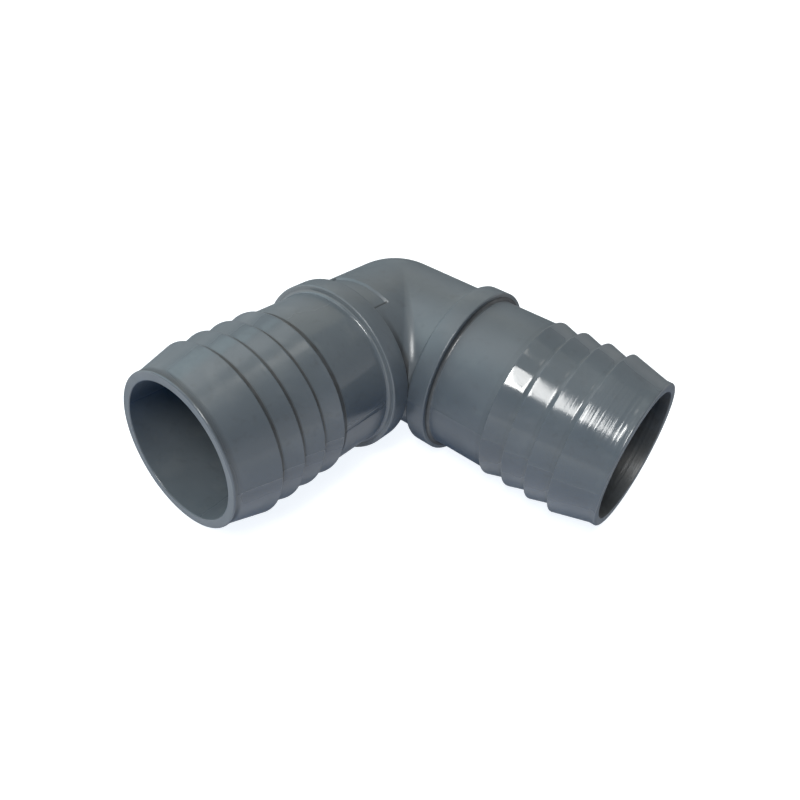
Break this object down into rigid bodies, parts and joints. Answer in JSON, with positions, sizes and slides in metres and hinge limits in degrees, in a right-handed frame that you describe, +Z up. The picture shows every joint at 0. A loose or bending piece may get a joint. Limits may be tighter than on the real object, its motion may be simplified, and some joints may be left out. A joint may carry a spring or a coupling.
{
  "type": "barbed pipe elbow",
  "caption": "Right-angle barbed insert elbow: a ball-cornered body with banded sockets carries barbed hose tails that push into flexible pipe and turn its flow round a corner.",
  "frame": {"origin": "centre of the part's box on the surface that it lies on, 23.15 mm under the plane of both arm axes", "axes": "+X out of the right arm's mouth, -Y out of the left arm's mouth, +Z up, square to the plane of the arms"},
  "size_m": [0.0988, 0.0988, 0.0463],
  "materials": {
    "body_pvc": "semi-gloss moulded grey PVC",
    "tail_pvc": "semi-gloss moulded grey PVC"
  },
  "bodies": {
    "root": {"elbow_body": "body_pvc", "right_barbed_tail": "tail_pvc", "left_barbed_tail": "tail_pvc"}
  },
  "joints": []
}
